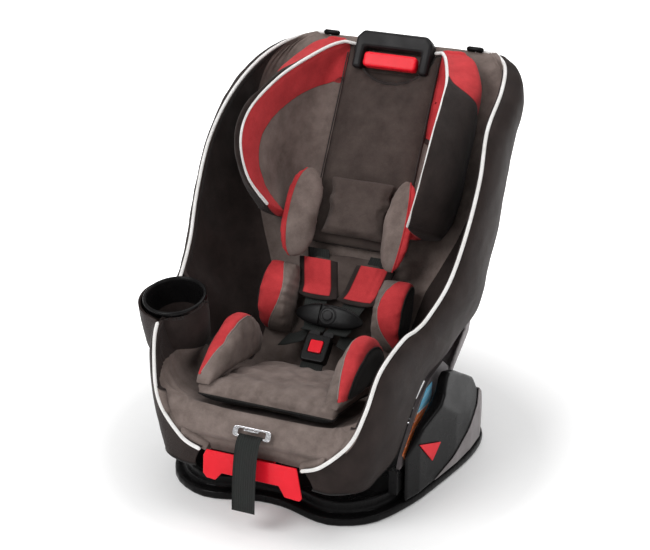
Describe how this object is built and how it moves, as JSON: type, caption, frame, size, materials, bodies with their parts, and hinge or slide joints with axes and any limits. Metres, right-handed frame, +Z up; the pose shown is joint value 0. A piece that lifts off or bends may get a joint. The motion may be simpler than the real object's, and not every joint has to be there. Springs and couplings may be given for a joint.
{
  "type": "convertible child car seat",
  "caption": "Convertible child car seat on a reclining base, with a height-adjusting winged headrest, five-point harness, bolsters and a lift-out cup liner.",
  "frame": {"origin": "middle of the base, on its flat underside", "axes": "+Z up, -Y the way the child faces, +X the child's left"},
  "size_m": [0.4954, 0.6454, 0.6121],
  "materials": {
    "black_plastic": "satin black moulded plastic, fine grain",
    "grey_plastic": "warm grey moulded plastic",
    "shell_plastic": "dark grey moulded plastic",
    "taupe_suede": "taupe brushed suede-like fabric over foam",
    "dark_satin": "dark brown satin-weave fabric",
    "red_fabric": "brushed red fabric over foam",
    "red_plastic": "bright red gloss plastic",
    "webbing": "dark woven harness webbing",
    "chrome": "polished or zinc-plated steel",
    "label": "printed level label without lettering",
    "arrow_red": "red pointer label"
  },
  "bodies": {
    "base": {"base_pan": "black_plastic", "base_tower_left": "black_plastic", "base_tower_right": "black_plastic", "base_panel_left": "grey_plastic", "base_panel_right": "grey_plastic", "recline_track_left": "black_plastic", "recline_track_right": "black_plastic", "recline_rack": "chrome", "level_arrow": "arrow_red", "base_screw_1": "chrome", "base_screw_2": "chrome", "base_screw_3": "chrome", "base_screw_4": "chrome"},
    "seat": {"seat_shell": "shell_plastic", "seat_liner": "taupe_suede", "outer_cover_left": "dark_satin", "outer_cover_right": "dark_satin", "shell_rear_tub": "grey_plastic", "side_rail_left": "shell_plastic", "side_rail_right": "shell_plastic", "recline_rod": "chrome", "level_label": "label", "harness_splitter_plate": "chrome", "seat_cushion": "taupe_suede", "back_pad": "taupe_suede", "seat_bolster_left": "red_fabric", "seat_bolster_right": "red_fabric", "back_bolster_left": "red_fabric", "back_bolster_right": "red_fabric", "cup_housing": "dark_satin", "crotch_strap": "webbing", "buckle_housing": "black_plastic", "tongue_left": "chrome", "tongue_right": "chrome", "hip_strap_left": "webbing", "hip_strap_right": "webbing", "shoulder_strap_left": "webbing", "shoulder_strap_right": "webbing", "chest_clip_left": "black_plastic", "chest_clip_right": "black_plastic", "adjuster_bezel": "chrome", "adjuster_strap": "webbing"},
    "cup": {"cup_liner": "black_plastic"},
    "buckle_release": {"buckle_button": "red_plastic"},
    "clip_release": {"chest_clip_button": "black_plastic"},
    "adjuster_release": {"adjuster_lever": "chrome"},
    "handle": {"recline_handle": "red_plastic"},
    "lock_pin": {"recline_lock_pin": "chrome"},
    "headrest": {"headrest_frame": "black_plastic", "headrest_cushion": "taupe_suede", "headrest_handle": "black_plastic", "headrest_wing_left": "red_fabric", "headrest_wing_right": "red_fabric", "head_pillow": "taupe_suede", "pillow_lobe_left": "taupe_suede", "pillow_lobe_right": "taupe_suede", "harness_pad_left": "red_fabric", "harness_pad_right": "red_fabric"},
    "height_button": {"headrest_button": "red_plastic"},
    "height_lock": {"headrest_lock_bar": "chrome"}
  },
  "joints": [
    {"name": "recline_tilt", "type": "hinge", "parent": "base", "child": "seat", "pos_m": [0, -0.1, 0.47], "axis": [1, 0, 0], "range_deg": [-3, 10]},
    {"name": "headrest_height", "type": "slide", "parent": "seat", "child": "headrest", "axis": [0, 0.5299, 0.848], "range_m": [0, 0.14], "deforming": ["shoulder_strap_left", "shoulder_strap_right"]},
    {"name": "headrest_button_squeeze", "type": "slide", "parent": "headrest", "child": "height_button", "axis": [0, 0.5299, 0.848], "range_m": [0, 0.006], "stiffness_N_per_m": 400},
    {"name": "headrest_lock_release", "type": "slide", "parent": "headrest", "child": "height_lock", "axis": [0, 0.5299, 0.848], "range_m": [0, 0.006]},
    {"name": "recline_handle_squeeze", "type": "slide", "parent": "seat", "child": "handle", "axis": [0, 0, 1], "range_m": [0, 0.01], "stiffness_N_per_m": 300},
    {"name": "recline_pin_lift", "type": "slide", "parent": "seat", "child": "lock_pin", "axis": [0, 0, 1], "range_m": [0, 0.01]},
    {"name": "buckle_press", "type": "slide", "parent": "seat", "child": "buckle_release", "axis": [0, 0.6641, -0.7477], "range_m": [0, 0.0025], "stiffness_N_per_m": 800},
    {"name": "chest_clip_press", "type": "slide", "parent": "seat", "child": "clip_release", "axis": [0, 0.848, -0.5299], "range_m": [0, 0.0025], "stiffness_N_per_m": 800},
    {"name": "adjuster_release_press", "type": "hinge", "parent": "seat", "child": "adjuster_release", "pos_m": [0, -0.2694, 0.15655], "axis": [1, 0, 0], "range_deg": [0, 12], "stiffness_Nm_per_rad": 0.05},
    {"name": "cup_lift", "type": "slide", "parent": "seat", "child": "cup", "axis": [0, -0.2079, 0.9781], "range_m": [0, 0.1]}
  ],
  "couplings": [
    {"joint": "headrest_lock_release", "follows": "headrest_button_squeeze", "ratio": 1},
    {"joint": "recline_pin_lift", "follows": "recline_handle_squeeze", "ratio": 1}
  ]
}
